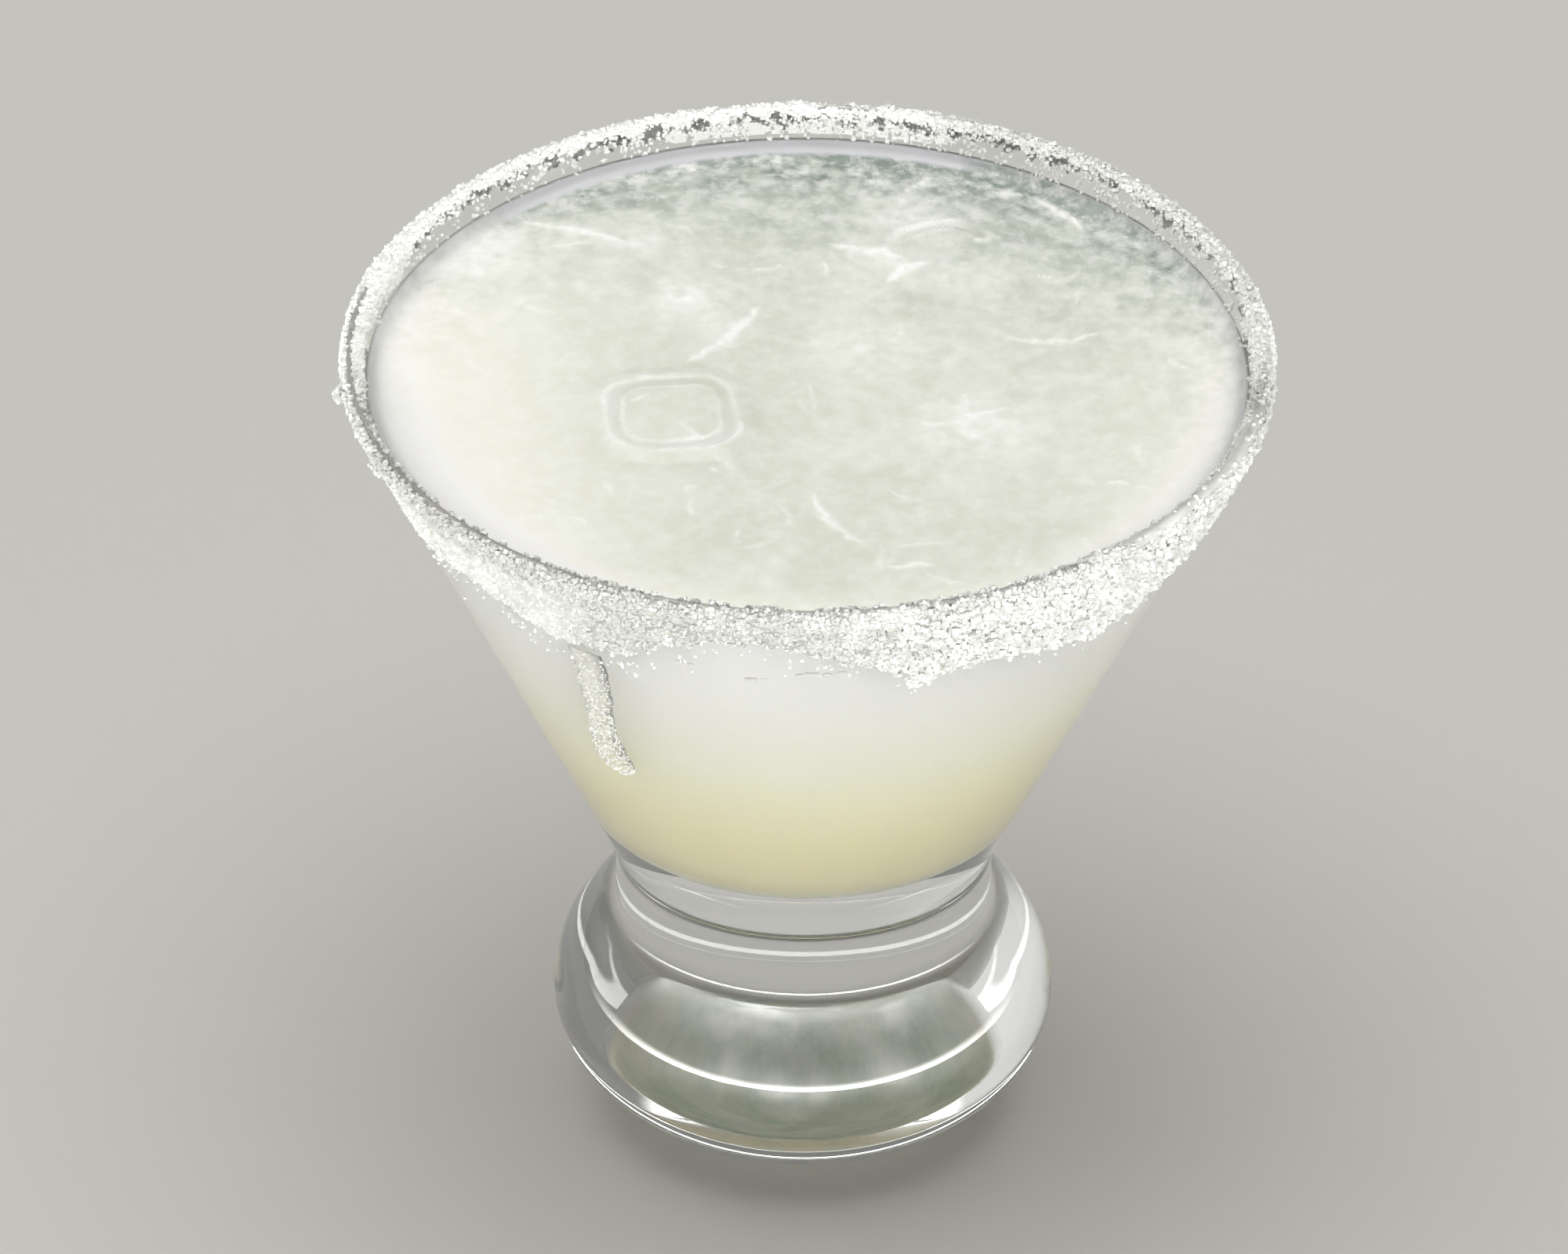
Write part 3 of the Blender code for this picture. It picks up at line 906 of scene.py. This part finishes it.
def sugar_depth(angle, along):
    """Depth of the caked sugar over the glass; below zero the glass is bare."""
    outer, inner = sugar_reach(angle)
    spot = Vector((angle * ARC_PER_DEGREE, along, 0.0))
    lumps = noise.fractal(spot * 0.9, 0.9, 2.1, 4)
    coarse = noise.fractal(spot * 0.25, 0.9, 2.1, 3)
    right = plateau(angle, *THICK_RIGHT)
    smear = plateau(angle, *SMEARED)
    back = plateau(angle, *THICK_BACK)
    glaze = lip_glaze(angle) * math.exp(-(((along + 0.2) / 0.85) ** 4))
    depth = 0.16 + 0.16 * back + 0.16 * right * smooth(-1.0, -4.0, along)
    depth += (0.13 + 0.13 * right - 0.08 * smear) * lumps * (1 - glaze) + 0.06 * coarse
    edge = min(1.0, max(-0.5, min((along + outer) / 2.6, (inner - along) / 0.8)))
    depth -= 0.32 * (1 - edge)
    depth -= 0.08 * glaze
    return depth - 0.9 * lip_bareness(angle) * math.exp(-(((along + 0.05) / 0.3) ** 4))


def dampness_and_shade(angle, along):
    """How damp the sugar is, with painted shade over the whole front where the low light falls: most in mid
    front and near the lip at the left, half below the band.
    """
    near_lip = smooth(-7.0, -1.0, along)
    low_left = smooth(-3.5, -7.0, along) * plateau(angle, *SMEARED)
    # Painted shade: the whole front, lit by the low light in front, is darkened as if damp.
    front = 0.69 * plateau(angle, *DAMP_AND_SHADED_FRONT) * (1 - 0.2 * low_left)
    back = 0.5 * plateau(angle, *DAMP_BACK) + 0.4 * plateau(angle, *DAMP_RIGHT)
    middle = 0.3 * bump_of(angle, *DAMPEST_MIDDLE)
    left = 0.56 * near_lip * bump_of(angle, *DAMPEST_LEFT)
    patchy = noise.fractal(Vector((angle * ARC_PER_DEGREE * 0.3, along * 0.3, 6.0)), 0.8, 2.2, 3)
    outer, _ = sugar_reach(angle)
    in_band = smooth(-1.0, 1.0, along + outer)
    damp = (front + middle + left + back) * (1 + 0.35 * patchy)
    return min(1.0, max(0.0, 0.5 + in_band * (damp - 0.5)))


def make_sugar_skin():
    """The caked layer: a closed skin over the glass, left out where the glass is bare."""
    rows = round((SKIN_OUTSIDE + SKIN_INSIDE) / SKIN_SPACING)
    shape = bmesh.new()
    wet = shape.verts.layers.float.new("wet")
    over, under, deep = {}, {}, {}
    for step in range(SKIN_STEPS):
        angle = 360 * step / SKIN_STEPS
        for row in range(rows + 1):
            deep[step, row] = sugar_depth(angle, row * SKIN_SPACING - SKIN_OUTSIDE)

    def corner(step, row, top):
        found = over if top else under
        if (step, row) not in found:
            angle, along = 360 * step / SKIN_STEPS, row * SKIN_SPACING - SKIN_OUTSIDE
            height = max(deep[step, row], SKIN_LEAST) if top else -SKIN_ROOT
            found[step, row] = shape.verts.new(on_lip(angle, along, height) * MM)
            found[step, row][wet] = dampness_and_shade(angle, along)
        return found[step, row]

    def covered(step, row):
        if row < 0 or row >= rows:
            return False
        after = (step + 1) % SKIN_STEPS
        step %= SKIN_STEPS
        return deep[step, row] + deep[after, row] + deep[after, row + 1] + deep[step, row + 1] > 0.12

    for step in range(SKIN_STEPS):
        after = (step + 1) % SKIN_STEPS
        for row in range(rows):
            if not covered(step, row):
                continue
            around = ((step, row), (after, row), (after, row + 1), (step, row + 1))
            shape.faces.new([corner(*place_of, True) for place_of in around])
            shape.faces.new([corner(*place_of, False) for place_of in reversed(around)])
            beside = ((step, row - 1), (step + 1, row), (step, row + 1), (step - 1, row))
            for side, neighbour in enumerate(beside):
                if not covered(*neighbour):
                    first, second = around[side], around[(side + 1) % 4]
                    foot = [corner(*first, False), corner(*second, False)]
                    shape.faces.new(foot + [corner(*second, True), corner(*first, True)])
    skin = new_object("sugar_skin", shape)
    look = sugar_look("caked sugar", SUGAR_DRY, CAKED_SUGAR_DAMP_SHADED, 0.45)
    place(skin, look, "glass", slot="clear_glass")


# The sides of a box whose corners are counted along Z first, then Y, then X.
BOX_FACES = ((0, 1, 3, 2), (4, 6, 7, 5), (0, 4, 5, 1), (2, 3, 7, 6), (0, 2, 6, 4), (1, 5, 7, 3))


def add_crystal(points, faces, centre, size, draw):
    """One crystal: a small box with uneven sides, turned at random."""
    first = len(points)
    turn = Matrix.Rotation(draw.uniform(0, math.tau), 3, "X")
    turn = turn @ Matrix.Rotation(draw.uniform(0, math.tau), 3, "Z")
    half = Vector([size * draw.uniform(0.32, 0.6) for _ in range(3)])
    for x in (-1, 1):
        for y in (-1, 1):
            for z in (-1, 1):
                corner = Vector((x * half.x, y * half.y, z * half.z)) * draw.uniform(0.8, 1.1)
                points.append((centre + turn @ corner) * MM)
    for face in BOX_FACES:
        faces.append([first + i for i in face])


def crystal_piece(name, spots, seed, look):
    """One mesh of crystals at (angle, along, away, size)."""
    draw = random.Random(seed)
    points, faces, wet = [], [], []
    for angle, along, away, size in spots:
        add_crystal(points, faces, on_lip(angle, along, away), size, draw)
        wet += [CRYSTALS_DAMP_SHADED * dampness_and_shade(angle, along)] * 8
    mesh = bpy.data.meshes.new(name)
    mesh.from_pydata(points, [], faces)
    mesh.attributes.new("wet", "FLOAT", "POINT").data.foreach_set("value", wet)
    piece = bpy.data.objects.new(name, mesh)
    bpy.context.scene.collection.objects.link(piece)
    place(piece, look, "glass", slot="clear_glass")


def band_spots(draw):
    """Crystals on the deep band outside the front: coarse at the right, fine and sparse at the left."""
    spots = []
    while len(spots) < BAND_CRYSTALS:
        angle = draw.uniform(*BAND_SPAN) % 360
        along = BAND_TOP - draw.random() * BAND_HEIGHT
        depth = sugar_depth(angle, along)
        right = plateau(angle, *COARSE_RIGHT)
        smear = plateau(angle, *SPARSE_LEFT) * smooth(-2.5, -6.0, along)
        if depth < SKIN_LEAST or draw.random() < max(0.8 * smear, 0.35 * (1 - right)):
            continue
        size = CRYSTAL_SIZE * draw.uniform(0.7, 1.3) * (0.85 + 0.8 * right * draw.random())
        spots.append((angle, along, depth + size * draw.uniform(-0.35, 0.15 + 0.5 * right), size))
    return spots


def lip_spots(draw):
    """Crystals on and beside the lip, all the way round."""
    spots = []
    while len(spots) < LIP_CRYSTALS:
        angle = draw.uniform(0, 360)
        along = draw.uniform(-LIP_OUTSIDE, SKIN_INSIDE)
        depth = sugar_depth(angle, along)
        if depth < 0.02 or (abs(along) < 1.1 and draw.random() < 0.93 * lip_glaze(angle)):
            continue
        size = CRYSTAL_SIZE * draw.uniform(0.65, 1.35)
        spots.append((angle, along, depth + size * draw.uniform(-0.35, 0.3), size))
    return spots


def stray_spots(draw):
    """Crystals scattered over the bare glass inside the lip, and below the band."""
    spots = []
    while len(spots) < STRAY_CRYSTALS:
        angle = draw.gauss(*STRAYS_ROUND) % 360
        along = draw.uniform(0.6, SKIN_INSIDE)
        crowd = 0.5 + noise.fractal(Vector((angle * 0.5, along * 0.5, 4.0)), 0.8, 2.2, 3)
        if draw.random() < crowd * (1.1 - 0.22 * along):
            size = CRYSTAL_SIZE * draw.uniform(0.5, 1.1)
            spots.append((angle, along, size * 0.3, size))
    for _ in range(STRAYS_BELOW_BAND):
        angle = draw.uniform(*STRAYS_BELOW_SPAN)
        outer, _ = sugar_reach(angle)
        size = CRYSTAL_SIZE * draw.uniform(0.4, 0.9)
        spots.append((angle, -outer - draw.expovariate(0.8), size * 0.3, size))
    return spots


def clump_spots(draw):
    """Clumps: one juts out at the left, some hang below the band."""
    spots = []
    for angle, along, spread, height, count in CLUMPS:
        for _ in range(count):
            size = CRYSTAL_SIZE * draw.uniform(0.7, 1.3)
            level = height * draw.random()
            narrow = spread * (1.1 - 0.7 * level / height)
            beside = angle + draw.gauss(0, narrow) / ARC_PER_DEGREE
            spots.append((beside, along + draw.gauss(0, narrow), level, size))
    return spots


def drip_spots(draw):
    """Fine grains that the drop carried down, most of them where it stopped."""
    spots = []
    for _ in range(DRIP_GRAINS):
        share = 0.99 * draw.random() ** 0.6
        angle, along = drip_point(share)
        across = draw.uniform(-1, 1) * drip_half_width(share)
        size = CRYSTAL_SIZE * draw.uniform(0.25, 0.5)
        spots.append((angle + across / DRIP_ARC_PER_DEGREE, along, 0.1, size))
    return spots


def drip_point(share):
    """Angle and length along the profile at a share of the streak's run, which wavers a little."""
    angle = DRIP_START[0] + (DRIP_END[0] - DRIP_START[0]) * share + 0.5 * math.sin(share * 7)
    return angle, DRIP_START[1] + (DRIP_END[1] - DRIP_START[1]) * share


def drip_half_width(share):
    """The streak widens towards its round end."""
    widening = 0.75 + 0.35 * smooth(0.6, 0.9, share)
    return DRIP_HALF_WIDTH * widening * math.sqrt(1 - smooth(0.92, 1.001, share))


def add_drop(shape, angle, along, half_width, half_height):
    """A low dome on the glass, its foot just inside the wall."""
    rings = []
    for reach, height in DROP_PROFILE:
        ring = []
        for step in range(DROP_STEPS):
            turn = math.tau * step / DROP_STEPS
            uneven = reach * (1 + 0.15 * math.sin(3 * turn + angle))
            beside = angle + half_width * uneven * math.cos(turn) / DROP_ARC_PER_DEGREE
            down = along + half_height * uneven * math.sin(turn)
            ring.append(shape.verts.new(on_lip(beside, down, height) * MM))
        rings.append(ring)
    join_rings(shape, rings)
    shape.faces.new(list(reversed(rings[0])))
    shape.faces.new(rings[-1])


def make_drip():
    """The dried streak, a thin film that is thicker at its end, and the drops."""
    shape = bmesh.new()
    grid = []
    for step in range(DRIP_STEPS + 1):
        share = step / DRIP_STEPS
        angle, along = drip_point(share)
        uneven = noise.fractal(Vector((share * 12, 2.0, 0.0)), 0.9, 2.1, 3)
        half = drip_half_width(share) * (1 + 0.14 * uneven)
        row = []
        for side in range(DRIP_ACROSS + 1):
            across = 2 * side / DRIP_ACROSS - 1
            height = (DRIP_DEPTH[0] + DRIP_DEPTH[1] * share) * (1 - across**2)
            beside = angle + half * across / DRIP_ARC_PER_DEGREE
            row.append(shape.verts.new(on_lip(beside, along, height - DRIP_SUNK) * MM))
        for across in (1, -1):
            beside = angle + half * across / DRIP_ARC_PER_DEGREE
            row.append(shape.verts.new(on_lip(beside, along, -FILM_ROOT) * MM))
        grid.append(row)
    join_rings(shape, grid)
    shape.faces.new(list(reversed(grid[0])))
    shape.faces.new(grid[-1])
    for drop in DROPS:
        add_drop(shape, *drop)
    drip = new_object("sugar_drip", shape)
    place(drip, syrup_look(), "glass", slot="clear_glass")


def make_sugar():
    make_sugar_skin()
    make_drip()
    look = sugar_look("sugar crystals", SUGAR_DRY, CRYSTAL_DAMP_SHADED, 0.3)
    band = band_spots(random.Random(BAND_SEEDS[0]))
    crystal_piece("sugar_band_crystals", band, BAND_SEEDS[1], look)
    lip = lip_spots(random.Random(LIP_SEEDS[0]))
    crystal_piece("sugar_lip_crystals", lip, LIP_SEEDS[1], look)
    draw = random.Random(LOOSE_SEEDS[0])
    loose = stray_spots(draw) + clump_spots(draw) + drip_spots(draw)
    crystal_piece("sugar_loose_crystals", loose, LOOSE_SEEDS[1], look)


def make_floor():
    shape = bmesh.new()
    bmesh.ops.create_grid(shape, x_segments=1, y_segments=1, size=FLOOR_SIZE * MM)
    shape.transform(Matrix.Translation((0.0, 0.0, FLOOR_LEVEL * MM)))
    floor = new_object("floor", shape)
    look, _, shader = principled("pale floor")
    shader.inputs["Base Color"].default_value = (0.50, 0.495, 0.48, 1.0)
    shader.inputs["Roughness"].default_value = 0.6
    floor.data.materials.append(look)


def eased(tree, value, low, high, start, end):
    """A smooth change from one strength to another as a value goes from low to high."""
    change = tree.nodes.new("ShaderNodeMapRange")
    change.interpolation_type = "SMOOTHSTEP"
    for name, number in (("From Min", low), ("From Max", high), ("To Min", start), ("To Max", end)):
        change.inputs[name].default_value = number
    tree.links.new(value, change.inputs["Value"])
    return change.outputs["Result"]


def make_world():
    """Dim surroundings with soft light from overhead, from the left and from a strip low in front."""
    world = bpy.data.worlds.new("studio")
    world.use_nodes = True
    tree = world.node_tree
    coordinates = tree.nodes.new("ShaderNodeTexCoord")
    split = tree.nodes.new("ShaderNodeSeparateXYZ")
    tree.links.new(coordinates.outputs["Generated"], split.inputs["Vector"])
    front = eased(tree, split.outputs["Y"], STRIP_FULL_AT, STRIP_GONE_AT, STRIP_STRENGTH, 0.0)
    low = eased(tree, split.outputs["Z"], 0.0, STRIP_TOP, 1.0, 0.0)
    strip = tree.nodes.new("ShaderNodeMath")
    strip.operation = "MULTIPLY_ADD"
    tree.links.new(front, strip.inputs[0])
    tree.links.new(low, strip.inputs[1])
    sky = eased(tree, split.outputs["Z"], OVERHEAD_FROM, OVERHEAD_TO, DIM_STRENGTH, OVERHEAD_STRENGTH)
    tree.links.new(sky, strip.inputs[2])
    facing = tree.nodes.new("ShaderNodeVectorMath")
    facing.operation = "DOT_PRODUCT"
    facing.inputs[1].default_value = Vector(PATCH_TOWARDS).normalized()
    tree.links.new(coordinates.outputs["Generated"], facing.inputs[0])
    edge = math.cos(math.radians(PATCH_SPREAD))
    patch = eased(tree, facing.outputs["Value"], edge, (3 + edge) / 4, 0.0, PATCH_STRENGTH)
    total = tree.nodes.new("ShaderNodeMath")
    tree.links.new(strip.outputs["Value"], total.inputs[0])
    tree.links.new(patch, total.inputs[1])
    background = tree.nodes["Background"]
    background.inputs["Color"].default_value = (1.0, 0.99, 0.965, 1.0)
    tree.links.new(total.outputs["Value"], background.inputs["Strength"])
    bpy.context.scene.world = world


def make_camera():
    camera = bpy.data.cameras.new("camera")
    camera.sensor_width = SENSOR_WIDTH
    camera.lens = SENSOR_WIDTH * PIXELS_PER_MM * CAMERA_DISTANCE / IMAGE_WIDTH
    camera.clip_end = 20.0
    made = bpy.data.objects.new("camera", camera)
    elevation = math.radians(CAMERA_ELEVATION)
    roll = math.radians(CAMERA_ROLL)
    back = Vector((0.0, -math.cos(elevation), math.sin(elevation)))
    level_right = Vector((1.0, 0.0, 0.0))
    level_up = back.cross(level_right)
    right = level_right * math.cos(roll) + level_up * math.sin(roll)
    up = back.cross(right)
    over = (RIM_IN_IMAGE[0] - IMAGE_WIDTH / 2) / PIXELS_PER_MM
    above = (IMAGE_HEIGHT / 2 - RIM_IN_IMAGE[1]) / PIXELS_PER_MM
    aim = Vector((0.0, 0.0, GLASS_HEIGHT)) - right * over - up * above
    turn = Matrix((right, up, back)).transposed().to_4x4()
    made.matrix_world = Matrix.Translation((aim + back * CAMERA_DISTANCE) * MM) @ turn
    bpy.context.scene.collection.objects.link(made)
    bpy.context.scene.camera = made


def make_view():
    bpy.context.scene.view_settings.view_transform = "Standard"
    bpy.context.scene.cycles.max_bounces = 18
    bpy.context.scene.cycles.diffuse_bounces = 6
    bpy.context.scene.cycles.transmission_bounces = 14
    make_camera()
    make_floor()
    make_world()


make_view()
make_glass()
make_drink()
make_ice()
make_sugar()
